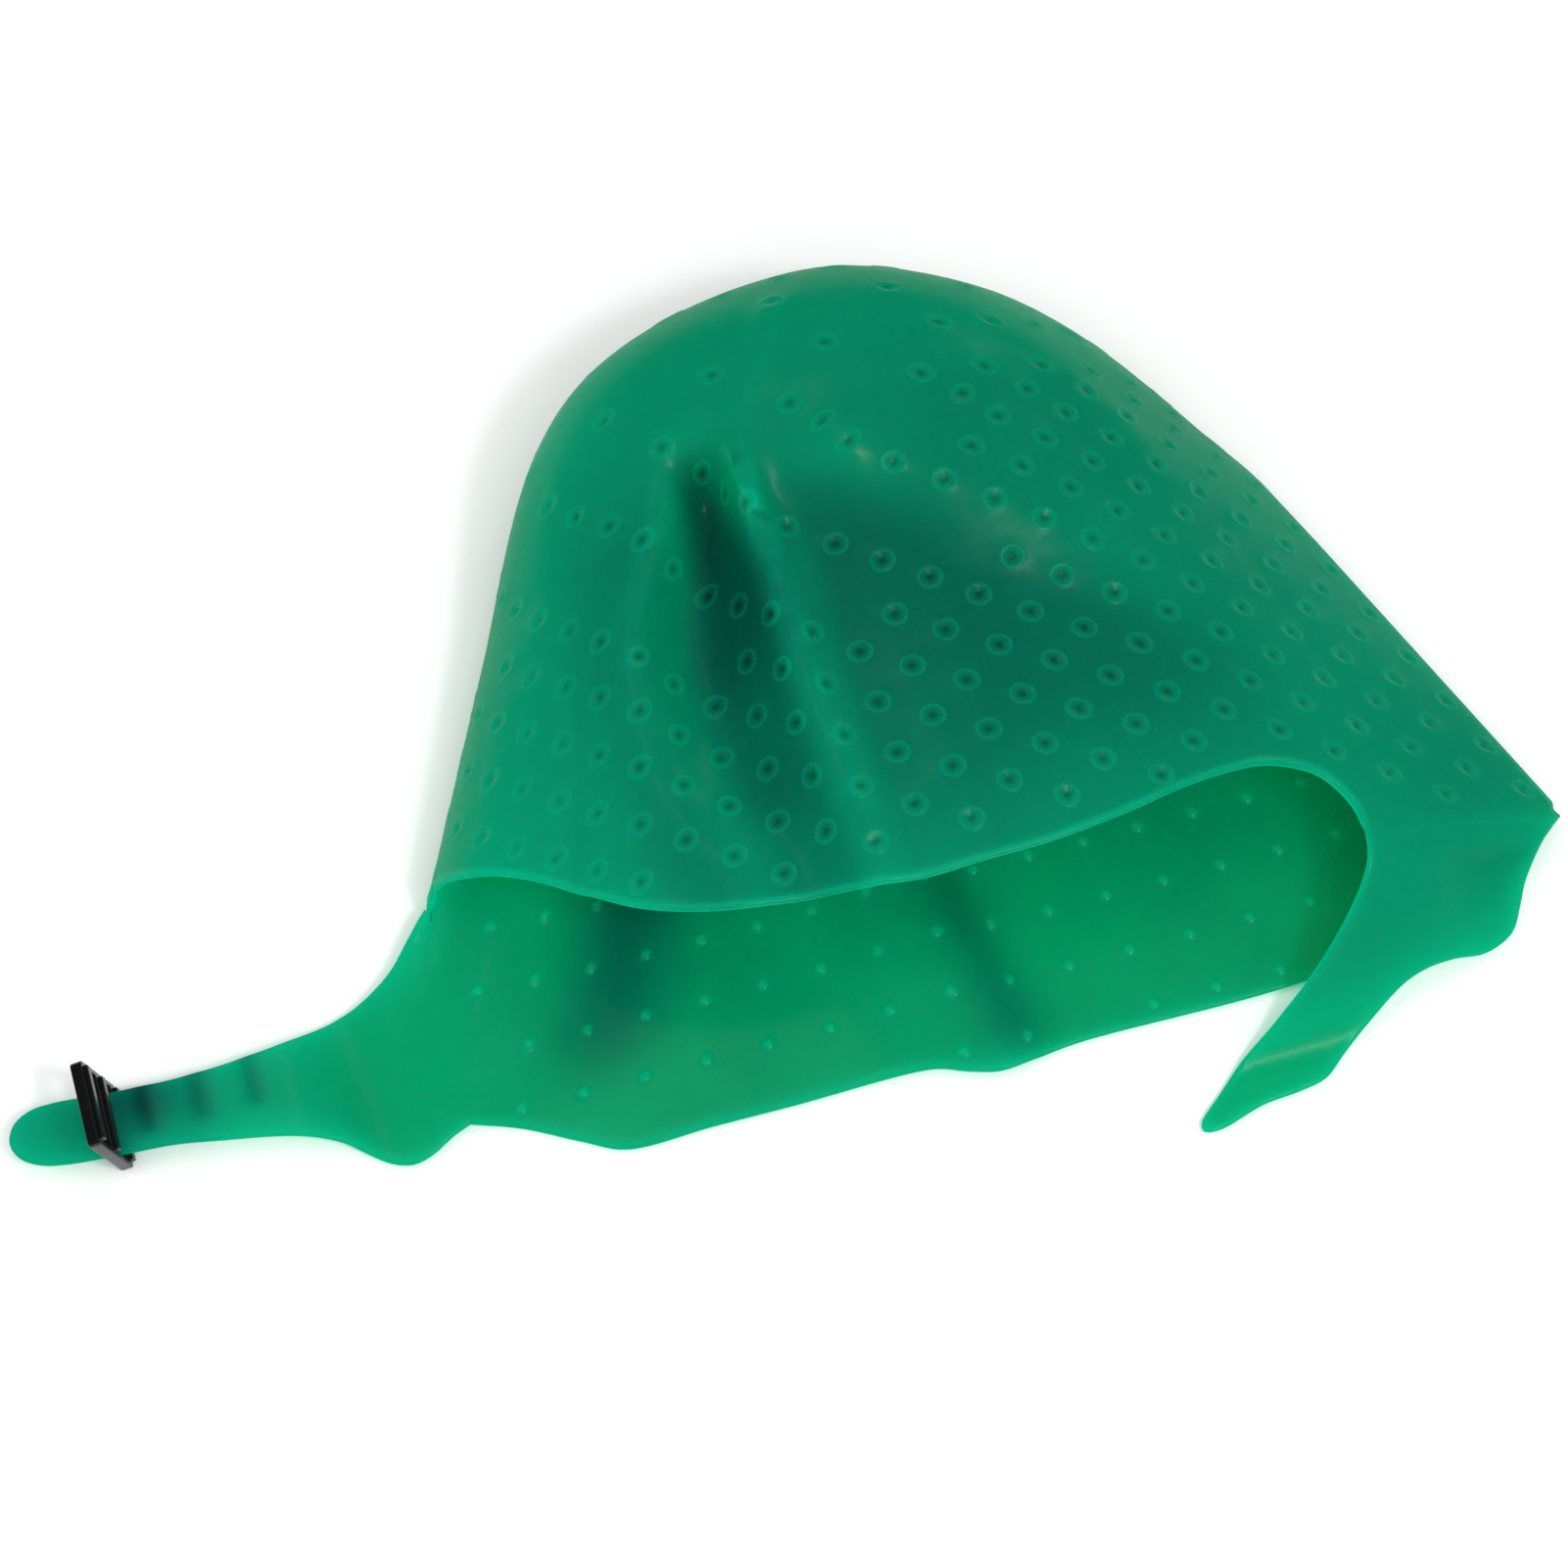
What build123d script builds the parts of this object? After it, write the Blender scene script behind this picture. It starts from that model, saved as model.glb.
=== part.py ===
from build123d import *
import os
from math import atan2, cos, degrees, pi, radians, sin, sqrt, tan

os.makedirs("parts", exist_ok=True)

# A hair highlighting cap lying half collapsed on a table: one silicone moulding (dome and two
# chin straps) and a black slide buckle on one strap.  Millimetres, table at z = 0, crown
# towards +Y, opening towards -Y.  Outlines are written in the cap's own frame, whose x = 0 is
# the middle of the dome; MID_X and MID_Y move that frame so that the whole thing is centred.

# ---- driving dimensions -------------------------------------------------------------------
MID_X, MID_Y = 36.6, -0.6    # the dome's middle in the shared frame
WALL = 1.4                  # silicone wall
GAP = 0.3                   # clearance at a strap root and round the strap in its slot
CROWN_Y = 95.2              # the crown, the far end of the folded dome
SHOULDER_Y = 35.0           # where the straight sides start to round off to the crown
LEFT_WIDTH, RIGHT_WIDTH = 100.1, 102.4      # half widths of the folded dome at y = 0
LEFT_TAPER, RIGHT_TAPER = 0.5, 0.43         # half width lost for each millimetre of y
LEFT_ROUND, RIGHT_ROUND = 5.0, 1.6          # how late the outline turns in to the crown
ROOM = 47.0                 # height of the near wall over the table at y = 0
NOSE_Z = 27.0               # height of the crown's tip
LIFT_OFF = 0.3              # the far wall clears the table by this much
NOSE_Y = 62.0               # where top and bottom start to close up towards the tip
RIM_CUT_Z = 5.0             # level that parts the near wall's rim from the far wall's rim
STRAP_WIDTH = 13.0
STRAP_MID_Y = -34.2         # line down the middle of the buckle strap
STRAP_TIP_X = -197.2
STRAP_LIFT = 3.95           # the strap rides this high over the buckle's bottom bar
RIB_X, RIB_PITCH, RIB_COUNT = -145.9, 10.8, 3
RIB_WIDTH, RIB_RISE = 3.0, 0.4
BUCKLE_LONG, BUCKLE_SHORT, BUCKLE_THICK = 18.4, 20.0, 2.4
SLOT_LONG, SLOT_WIDE = 14.6, 5.2
BUCKLE_X = -176.0           # where the strap passes the buckle
BUCKLE_LEAN = 12.0          # degrees from upright, top towards the strap's tip


def plan(z=0.0):
    """The table plane in the cap's own frame."""
    return Plane(origin=(MID_X, MID_Y, z), x_dir=(1, 0, 0), z_dir=(0, 0, 1))


def upright(y):
    """An upright plane across the cap: local x is across, local y is up."""
    return Plane(origin=(MID_X, MID_Y + y, 0), x_dir=(1, 0, 0), z_dir=(0, -1, 0))


def mix(a, b, t):
    t = min(max(t, 0.0), 1.0)
    return a + (b - a) * t


def half_width(y, left=False):
    closing = max(0.0, (y - SHOULDER_Y) / (CROWN_Y - SHOULDER_Y))
    if left:
        return (LEFT_WIDTH - LEFT_TAPER * y) * sqrt(1 - closing ** LEFT_ROUND)
    return (RIGHT_WIDTH - RIGHT_TAPER * y) * sqrt(1 - closing ** RIGHT_ROUND)


def closing_up(y):
    """1 along the dome, falling round a quarter circle to 0 at the crown's tip."""
    t = max(0.0, (y - NOSE_Y) / (CROWN_Y - NOSE_Y))
    return sqrt(max(0.0, 1 - t * t))


def fold_height(across, y):
    """Height at which near and far wall meet; across runs from -1 at the left fold to 1."""
    left = mix(mix(3.2, 8.0, (y + 50) / 90), NOSE_Z - 4, (y - 40) / 45)
    right = mix(mix(3.2, 6.0, (y + 50) / 70), NOSE_Z - 4, (y - 20) / 65)
    return mix(left, right, (across + 1) / 2)


def near_wall(across, y, skin=0.0):
    """Height of the near wall's outside: round at the left fold, flatter at the right one."""
    top = NOSE_Z + (mix(ROOM - 8, ROOM + 8, (y + 50) / 110) - NOSE_Z) * closing_up(y) - skin
    arch = sqrt(max(0.0, 1 - across * across))
    arch **= 1 + 0.7 * mix(0, 1, across * 1.3) * mix(1, 0, y / 60)
    fold = fold_height(across, y)
    return fold + (top - fold) * arch


def far_wall(across, y, skin=0.0):
    """Height of the far wall's outside, which lies on the table."""
    bottom = LIFT_OFF + (NOSE_Z - LIFT_OFF) * (1 - closing_up(y)) + skin
    fold = fold_height(across, y)
    return fold - (fold - bottom) * sqrt(max(0.0, 1 - across * across)) ** 0.7


def section(y, skin):
    """The closed outline of the dome's wall at y, set in from its outside by skin."""
    points = []
    for k in range(16):
        across = cos(2 * pi * k / 16)
        w = half_width(y, across < 0) - skin
        wall = near_wall if k <= 8 else far_wall
        points.append((w * across, wall(across, y, skin)))
    return points


# ---- the dome -----------------------------------------------------------------------------
STATIONS = (-76, -56, -36, -12, 14, 40, 62, 78, 89)

with BuildPart() as dome_outside:
    for y in STATIONS + (CROWN_Y - 0.6,):
        with BuildSketch(upright(y)):
            with BuildLine():
                Spline(*section(y, 0.0), periodic=True)
            make_face()
    loft()

with BuildPart() as dome_inside:
    for y in STATIONS[:-1] + (CROWN_Y - 0.6 - WALL * 2,):
        with BuildSketch(upright(y)):
            with BuildLine():
                Spline(*section(y, WALL), periodic=True)
            make_face()
    loft()

# The forehead rim runs along the near wall, from the left fold to the tail strap's root.
FOREHEAD = ((-101, -12), (-77, -25), (-56, -33), (-21, -41), (1, -41), (32, -38), (60, -34),
            (72, -38), (78.5, -50))
# The nape rim runs along the far wall, which lies on the table.
NAPE = ((-106, -54), (-97, -57.5), (-78, -67.6), (-45, -67.3), (-15, -67.8), (-2, -72), (14, -70),
        (63, -70), (95, -64), (120, -50))

with BuildPart() as cap_shell:
    add(dome_outside.part)
    add(dome_inside.part, mode=Mode.SUBTRACT)
    with BuildSketch(plan(RIM_CUT_Z)):          # opens the near wall in front of its rim
        with BuildLine():
            Polyline((-150, -9), FOREHEAD[0])
            Spline(*FOREHEAD)
            Polyline(FOREHEAD[-1], (150, -50), (150, -120), (-150, -120), (-150, -9))
        make_face()
    extrude(amount=90, mode=Mode.SUBTRACT)
    with BuildSketch(plan(-5)):                 # trims the far wall at the nape and strap root
        with BuildLine():
            Polyline((-150, -9), (-104.5, -9), NAPE[0])
            Polyline(*NAPE)
            Polyline(NAPE[-1], (150, -50), (150, -120), (-150, -120), (-150, -9))
        make_face()
    extrude(amount=5 + RIM_CUT_Z + 0.01, mode=Mode.SUBTRACT)

cap_shell.part.label = "cap_shell"
export_step(cap_shell.part, "parts/cap_shell.step")

# ---- the buckle strap, flat on the table and then riding over the buckle's bottom bar --------
half = STRAP_WIDTH / 2
with BuildPart() as buckle_strap:
    with BuildSketch(plan(-1)):
        with BuildLine():
            Spline((-104.5 - GAP, -9.5), (-114, -21), (-128, -26.5), (-148, -28.6),
                   (-172, STRAP_MID_Y + half), (STRAP_TIP_X + half, STRAP_MID_Y + half))
            ThreePointArc((STRAP_TIP_X + half, STRAP_MID_Y + half), (STRAP_TIP_X, STRAP_MID_Y),
                          (STRAP_TIP_X + half, STRAP_MID_Y - half))
            Spline((STRAP_TIP_X + half, STRAP_MID_Y - half), (-172, STRAP_MID_Y - half),
                   (-144, -45.3), (-132, -50.5), (-124, -56.8), (-116, -58.2),
                   (-106 - GAP, -54))
            Line((-106 - GAP, -54), (-104.5 - GAP, -9.5))
        make_face()
    extrude(amount=20)
    with BuildSketch(upright(20)):              # the strap seen from its edge
        with BuildLine():
            Polyline((-90, 0), (-124, 0), (-137, STRAP_LIFT), (-210, STRAP_LIFT),
                     (-210, STRAP_LIFT + WALL), (-137, STRAP_LIFT + WALL), (-124, WALL),
                     (-90, WALL), (-90, 0))
        make_face()
    extrude(amount=100, mode=Mode.INTERSECT)
    with BuildSketch(plan(STRAP_LIFT + WALL)):  # low cross ribs that hold the buckle
        with Locations(*[(RIB_X - RIB_PITCH * k, STRAP_MID_Y - 0.4) for k in range(RIB_COUNT)]):
            Rectangle(RIB_WIDTH, STRAP_WIDTH - 2)
    extrude(amount=RIB_RISE)

buckle_strap.part.label = "buckle_strap"
export_step(buckle_strap.part, "parts/buckle_strap.step")

# ---- the tail strap, a band that leaves the near wall and turns down onto the table ----------
# Each station gives the band's left edge, middle and right edge.
ROOT = [(x, -50 - GAP, near_wall(x / half_width(-50), -50) - WALL / 2) for x in (78.5, 100, 119.5)]
TAIL = (
    ROOT,
    ((75.5, -57.5, 22), (94, -60.5, 14.5), (111.5, -61.5, 4)),
    ((70, -64.5, 15), (86, -68, 9.5), (102, -73, 2)),
    ((62, -71.5, 8.5), (73, -74.5, 5.5), (84.5, -76.5, 2)),
    ((52, -78.5, 3.5), (58.5, -81.5, 2.6), (67, -84.5, 1.4)),
    ((43, -84.5, 1.2), (48, -87.5, 1.0), (53.5, -91.5, 0.9)),
    ((35, -90.2, 0.9), (36.5, -91.7, 0.9), (38.2, -93.4, 0.9)),
)


def band(left, middle, right):
    """The face of the tail strap at one station, WALL thick, and the plane it lies in."""
    across = Vector(*right) - Vector(*left)
    level = sqrt(across.X ** 2 + across.Y ** 2)
    origin = (MID_X + left[0], MID_Y + left[1], left[2])
    plane = Plane(origin=origin, x_dir=(across.X / level, across.Y / level, 0),
                  z_dir=(across.Y / level, -across.X / level, 0))
    to_middle = Vector(*middle) - Vector(*left)
    along = (to_middle.X * across.X + to_middle.Y * across.Y) / level
    return plane, level, (along, to_middle.Z), across.Z


with BuildPart() as tail_strap:
    for station in TAIL:
        plane, level, middle, drop = band(*station)
        t = WALL / 2
        with BuildSketch(plane):
            with BuildLine():
                Spline((0, t), (middle[0], middle[1] + t), (level, drop + t))
                Line((level, drop + t), (level, drop - t))
                Spline((level, drop - t), (middle[0], middle[1] - t), (0, -t))
                Line((0, -t), (0, t))
            make_face()
    loft()

tail_strap.part.label = "tail_strap"
export_step(tail_strap.part, "parts/tail_strap.step")

# ---- the slide buckle, standing on its edge with the strap through its lower slot -------------
bar = (BUCKLE_SHORT - 2 * SLOT_WIDE) / 3
slot_mid = (bar + SLOT_WIDE) / 2
lean = radians(BUCKLE_LEAN)
middle_z = 0.1 + BUCKLE_SHORT / 2 * cos(lean) + BUCKLE_THICK / 2 * sin(lean)
strap_z = STRAP_LIFT + WALL / 2
face_up = Vector(-sin(lean), 0, cos(lean))
face_normal = Vector(cos(lean), 0, sin(lean))
middle_bar = Vector(MID_X + BUCKLE_X - (middle_z - strap_z) * tan(lean), MID_Y + STRAP_MID_Y, middle_z)
buckle_plane = Plane(origin=tuple(middle_bar), x_dir=(0, 1, 0), z_dir=tuple(face_normal))

with BuildPart() as strap_buckle:
    with BuildSketch(buckle_plane):
        RectangleRounded(BUCKLE_LONG, BUCKLE_SHORT, 1.2)
        with Locations((0, slot_mid), (0, -slot_mid)):
            RectangleRounded(SLOT_LONG, SLOT_WIDE, 0.5, mode=Mode.SUBTRACT)
    extrude(amount=BUCKLE_THICK / 2, both=True)
    with BuildSketch(buckle_plane.offset(BUCKLE_THICK / 2)):      # grip rails on the bars
        with Locations((0, 0), (0, slot_mid * 2)):
            Rectangle(SLOT_LONG, bar * 0.45)
    extrude(amount=0.5)

strap_buckle.part.label = "strap_buckle"
export_step(strap_buckle.part, "parts/strap_buckle.step")
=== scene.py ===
import math

import bpy
import numpy as np
from mathutils import Matrix, Vector
from mathutils.geometry import delaunay_2d_cdt


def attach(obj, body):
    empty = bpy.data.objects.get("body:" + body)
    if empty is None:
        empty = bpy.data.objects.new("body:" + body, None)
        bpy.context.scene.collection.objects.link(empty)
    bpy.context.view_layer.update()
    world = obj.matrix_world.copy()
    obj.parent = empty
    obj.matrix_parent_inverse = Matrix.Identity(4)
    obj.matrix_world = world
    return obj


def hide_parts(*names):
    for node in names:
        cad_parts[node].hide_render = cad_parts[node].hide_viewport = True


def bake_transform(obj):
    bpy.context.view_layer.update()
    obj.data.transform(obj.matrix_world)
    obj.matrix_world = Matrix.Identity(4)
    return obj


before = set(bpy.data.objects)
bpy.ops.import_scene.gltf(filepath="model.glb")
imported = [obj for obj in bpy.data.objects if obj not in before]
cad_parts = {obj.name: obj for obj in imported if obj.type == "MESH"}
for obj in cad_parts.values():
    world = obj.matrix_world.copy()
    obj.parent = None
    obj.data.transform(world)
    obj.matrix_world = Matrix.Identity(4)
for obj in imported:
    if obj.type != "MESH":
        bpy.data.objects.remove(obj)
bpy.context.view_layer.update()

# The silicone cap is worked out in the cap's own frame, in millimetres: x = 0 is the middle of
# the folded dome, +Y runs from the opening to the crown, the table is z = 0.
MID = np.array((36.6, -0.6, 0.0))        # that frame's origin in the shared frame

# ---- the folded dome ------------------------------------------------------------------------
THICK = 1.15              # silicone wall
CROWN_Y = 97.3            # the crown, the far end of the folded dome
SHOULDER_Y = 35.0         # where the straight sides start to round off to the crown
LEFT_WIDTH, RIGHT_WIDTH = 99.4, 101.9       # half widths of the folded dome at y = 0
LEFT_TAPER, RIGHT_TAPER = 0.505, 0.43       # half width lost for each millimetre of y
LEFT_ROUND, RIGHT_ROUND = 5.6, 1.9          # how late the outline turns in to the crown
ROOM = 47.0               # height of the near wall over the table
POLE_Z = 24.5             # where the walls and both folds meet at the crown
NOSE_Y = 62.0             # where top and bottom start to close up towards the crown
LIFT_OFF = 0.35           # the far wall clears the table by this much
NOSE_ROUND = 22.0         # how quickly y runs away from the crown in the flattened map
HINGE_X = -105.0          # the buckle strap's root on the far wall
TAIL_Y = -50.0            # the tail strap's root on the near wall
DENT_DEPTH = 13.0         # the deep valley down the near wall
RIDGE_RISE = 2.4          # the ridge on the valley's right
HOLLOW_DEPTH = 5.5        # the hollow under the shelf
FAR_LEFT_RISE, FAR_MID_RISE = 4.2, 4.6      # the far wall's two folds off the table


def ramp(a, b, t):
    """From a at t = 0 to b at t = 1, and level beyond."""
    return a + (b - a) * np.clip(t, 0.0, 1.0)


def smooth(t):
    """From 0 at t = 0 to 1 at t = 1 with level ends."""
    t = np.clip(t, 0.0, 1.0)
    return t * t * (3 - 2 * t)


def bell(t):
    """1 at t = 0, fading on both sides."""
    return np.exp(-t * t)


def half_width(y, left):
    """Half width of the folded dome at y, on its left or its right side."""
    closing = np.clip((y - SHOULDER_Y) / (CROWN_Y - SHOULDER_Y), 0, 1)
    return np.where(left, (LEFT_WIDTH - LEFT_TAPER * y) * np.sqrt(1 - closing ** LEFT_ROUND),
                    (RIGHT_WIDTH - RIGHT_TAPER * y) * np.sqrt(1 - closing ** RIGHT_ROUND))


def closing_up(y):
    """1 along the dome, falling round a quarter circle to 0 at the crown."""
    t = np.clip((y - NOSE_Y) / (CROWN_Y - NOSE_Y), 0, 1)
    return np.sqrt(1 - t * t)


def fold_height(across, y):
    """Height at which near and far wall meet; across runs from -1 at the left fold to 1."""
    left = ramp(ramp(3.2, 8.0, (y + 50) / 90), POLE_Z, (y - 40) / 45)
    right = ramp(3.2, 6.0, (y + 50) / 70) + (POLE_Z - 6) * smooth((y - 44.5) / 40)
    return ramp(left, right, (across + 1) / 2)


def valley_x(y):
    """The deep fold line that runs down the near wall from the crown."""
    return -39.0 + 10.0 * smooth((y - 18) / 32) + 8.0 * smooth((-4 - y) / 32)


def ridge_x(y):
    """The ridge on the valley's right."""
    return -19.5 - 4.5 * smooth((y - 24) / 28) + 1.5 * smooth((-10 - y) / 30)


def shelf_y(x):
    """The shelf under the crown, on the ridge's right."""
    past = np.maximum(x + 24.6, 0)
    return 52.5 - 0.2 * past - 0.0045 * past ** 2


def left_fold_x(y):
    """The far wall's left fold."""
    return -85.6 + 0.497 * (y + 5.6)


def mid_fold_x(y):
    """The far wall's middle fold."""
    return -9.0 - 0.2 * (y + 34.4)


def relief(x, y):
    """The soft near wall's folds, dents and creases, in millimetres of height."""
    # the deep valley, its left slope wider than its right one, and the ridge beside it
    valley, crest = valley_x(y), ridge_x(y)
    depth = DENT_DEPTH * smooth((59 - y) / 14) * (1 - 0.72 * smooth((16 - y) / 55))
    left_slope = ramp(17, 11, (y - 16) / 34)
    rising = np.where(x < valley, (x - valley) / left_slope + 1,
                      (crest + 1 - x) / (crest + 1 - valley))
    dent = -depth * smooth(rising)
    ridge = (RIDGE_RISE * bell((x - crest) / 4.6) * smooth((56 - y) / 12)
             * (1 - 0.5 * smooth((-18 - y) / 20)))
    # a soft crest and a crease down the left side
    band_x = -50.5 - 0.16 * (51 - y)
    crease_x = -57.0 - 0.27 * (45 - y)
    upper = smooth((66 - y) / 18)
    left = upper * (1.2 * bell((x - band_x) / 7.0) - 1.1 * bell((x - crease_x) / 3.5))
    # the hollow under the shelf, and a pucker on the shelf's edge
    shelf_width = ramp(20, 26, (x - 3) / 12)
    hollow = (-HOLLOW_DEPTH * smooth((shelf_y(x) + 3 - y) / shelf_width) * smooth((x + 25) / 8)
              * (1 - smooth((x - 28) / 40)) * (1 - 0.8 * smooth((14 - y) / 45)))
    pucker = 1.4 * bell((x + 2) / 6.0) * bell((y - 45.5) / 8.0)
    off = 0.868 * (x + 24) - 0.497 * (y - 52)         # a soft crease up to the crown
    crease = 0.9 * bell(off / 2.8) * smooth((y - 50) / 6) * smooth((88 - y) / 8)
    # a soft swelling on the right shoulder
    shoulder = 1.8 * bell((0.8 * x + 0.6 * y - 73.3) / 6.5) * bell((0.6 * x - 0.8 * y + 2) / 22)
    return dent + ridge + left + hollow + pucker + crease + shoulder


def far_relief(x, y):
    """Two fold lines where the far wall stands off the table."""
    dx = x - left_fold_x(y)
    fold = FAR_LEFT_RISE * np.where(dx < 0, bell(dx / 9.0), bell(dx / 17.0)) * smooth((y + 60) / 30)
    dx = x - mid_fold_x(y)
    mid = FAR_MID_RISE * np.where(dx < 0, bell(dx / 15.0), bell(dx / 8.0))
    mid = mid * (0.35 + 0.65 * smooth((y + 72) / 26)) * smooth((10 - y) / 30)
    across = np.clip(x / half_width(y, x < 0), -1, 1)
    arch = np.sqrt(1 - across * across)
    return (fold + mid) * smooth((62 - y) / 40) * smooth(arch / 0.3)     # none at the side folds


def shade(x, y, near):
    """Painted shade and light on the wall, darker for the room behind it: 0 over the table, -1 in the
    deepest fold.
    """
    crest = ridge_x(y)
    # painted shade: darker with the room behind the wall, on the valley's flanks and in the hollow
    deep = -0.06 * smooth((near_z(x, y) - far_z(x, y) - 8) / 34)
    u = crest - x                                     # how far left of the ridge
    reach = ramp(23, 10.5, (y - 14) / 36)
    flank = (smooth((reach + 3 - u) / (0.5 * reach)) * smooth((u - 1) / 6) * smooth((57 - y) / 8)
             * (1 - 0.45 * smooth((24 - y) / 30) - 0.2 * smooth((-10 - y) / 20)))
    hollow = (smooth((shelf_y(x) - 1 - y) / ramp(11, 22, (x + 4) / 18)) * smooth((x - crest - 3) / 7)
              * (1 - smooth((x - 36) / 48)) * (1 - 0.75 * smooth((-6 - y) / 34)))
    # painted light: lighter where the wall turns down to the side folds and over the crown
    side = smooth((-57 - x) / 14) * smooth((x / half_width(y, True) + 0.97) / 0.12)
    across = np.abs(x) / half_width(y, x < 0)
    skirt = bell((u - reach - 9) / 9) * smooth((54 - y) / 16)
    over = (deep * (1 - flank) - 0.80 * flank - 0.12 * skirt - 0.30 * hollow + 0.24 * side
            + 0.26 * smooth((across - 0.58) / 0.36) + 0.14 * smooth((y - 52) / 24))
    # painted shade on the far wall: darker on the right of each of its folds, with some painted light
    # near its left end
    dx, dm = x - left_fold_x(y), x - mid_fold_x(y)
    under = (-0.10 * smooth((y + 58) / 26) - 0.06 * smooth((x - 26) / 34)
             + 0.20 * bell((x + 82) / 13) * smooth((y + 62) / 20)
             - (0.28 + 0.20 * smooth((y + 62) / 20)) * bell((dx - 27) / 13) * smooth((y + 64) / 24)
             - 0.30 * bell((dm - 6) / 6) * smooth((y + 74) / 12))
    return np.where(near, over, under * smooth((x + 98) / 14))


def near_z(x, y):
    """Height of the near wall's outside."""
    across = np.clip(x / half_width(y, x < 0), -1, 1)
    top = POLE_Z + (ramp(ROOM - 8, ROOM + 8, (y + 50) / 110) - POLE_Z) * closing_up(y)
    arch = np.sqrt(1 - across * across)
    flat = ramp(1.0, 0.3, (y - 20) / 60)              # the right side runs straighter to its fold
    shape = arch ** (1 + 1.0 * ramp(0, 1, across * 1.3) * flat)
    fold = fold_height(across, y)
    return fold + (top - fold) * shape + relief(x, y) * arch


def far_z(x, y):
    """Height of the far wall's outside, which lies on the table."""
    across = x / half_width(y, x < 0)
    bottom = LIFT_OFF + (POLE_Z - LIFT_OFF) * (1 - closing_up(y))
    fold = fold_height(np.clip(across, -1, 1), y)
    c = np.abs(across)
    rolled = 1 - np.sqrt(np.clip(1 - c * c, 0, 1)) ** 0.7
    opened = 0.6 * np.clip((c - 0.8) / 0.2, 0, 1.6) ** 2
    t = np.where(across < 0, smooth((y + 32) / 30), 1.0)     # the left fold opens to the strap
    shape = opened + (np.clip(rolled, 0, 1) - opened) * t
    return bottom + (fold - bottom) * shape + far_relief(x, y)


def wall(alpha, y):
    """Outside of the dome: alpha 0 is the right fold, pi the left one, near wall between."""
    x = half_width(y, np.cos(alpha) < 0) * np.cos(alpha)
    return np.stack([x, y, np.where(np.sin(alpha) >= 0, near_z(x, y), far_z(x, y))], -1)


def y_of(s):
    """y at a run s from the crown in the flattened map."""
    return CROWN_Y + NOSE_ROUND - np.sqrt(s * s + NOSE_ROUND ** 2)


def s_of(y):
    return np.sqrt(np.maximum((CROWN_Y + NOSE_ROUND - y) ** 2 - NOSE_ROUND ** 2, 0))


# A flat map of the dome: angle round the crown by arc length, and a radius that keeps small
# circles round, so that a dimple drawn in the map is a dimple on the wall.
S_MAX = float(s_of(-84.0))
ROWS, COLS = 240, 721
s_rows = np.linspace(0.6, S_MAX, ROWS)
alphas = np.linspace(0, 2 * np.pi, 2 * COLS - 1)
grid = wall(alphas[None, :], y_of(s_rows)[:, None] * np.ones((1, alphas.size)))
step = np.linalg.norm(np.diff(grid, axis=1), axis=2)
phi_of_alpha = np.zeros_like(grid[..., 0])
for half in (0, 1):
    part = step[:, half * (COLS - 1):(half + 1) * (COLS - 1)]
    run = np.cumsum(part, axis=1)
    phi_of_alpha[:, half * (COLS - 1) + 1:(half + 1) * (COLS - 1) + 1] = (
        np.pi * half + np.pi * run / run[:, -1:])
around = step.sum(axis=1)
forward = np.linalg.norm(np.diff(grid, axis=0), axis=2).mean(axis=1)
log_r = np.concatenate([[0.0], np.cumsum(2 * np.pi * forward / ((around[1:] + around[:-1]) / 2))])
map_r = np.exp(log_r)
phis = np.linspace(0, 2 * np.pi, 2 * COLS - 1)
alpha_of_phi = np.array([np.interp(phis, phi_of_alpha[i], alphas) for i in range(ROWS)])


def look_up(table, s, a):
    """Bilinear look-up in a table over s_rows and one whole turn."""
    fs = np.clip((s - s_rows[0]) / (s_rows[1] - s_rows[0]), 0, ROWS - 1.001)
    fa = np.clip(a / (2 * np.pi) * (table.shape[1] - 1), 0, table.shape[1] - 1.001)
    i, j = fs.astype(int), fa.astype(int)
    u, v = fs - i, fa - j
    top = table[i, j] * (1 - v) + table[i, j + 1] * v
    low = table[i + 1, j] * (1 - v) + table[i + 1, j + 1] * v
    return top * (1 - u) + low * u


def polar(r, phi):
    return np.stack([r * np.cos(phi), r * np.sin(phi)], -1)


def to_map(alpha, y):
    """Places in the flat map of points on the wall."""
    s = s_of(np.asarray(y, float))
    phi = look_up(phi_of_alpha, s, np.mod(alpha, 2 * np.pi))
    return polar(np.interp(s, s_rows, map_r), phi)


def from_map(p):
    """Angle and y on the wall of points in the flat map."""
    r = np.hypot(p[:, 0], p[:, 1])
    phi = np.mod(np.arctan2(p[:, 1], p[:, 0]), 2 * np.pi)
    s = np.interp(r, map_r, s_rows)
    return look_up(alpha_of_phi, s, phi), y_of(s)


def on_wall(p):
    alpha, y = from_map(p)
    return wall(alpha, y)


def map_scale(p):
    """Map units for each millimetre on the wall."""
    h = 0.02
    a = np.linalg.norm(on_wall(p + (h, 0)) - on_wall(p - (h, 0)), axis=1)
    b = np.linalg.norm(on_wall(p + (0, h)) - on_wall(p - (0, h)), axis=1)
    return 2 * h / np.sqrt(a * b)


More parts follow.
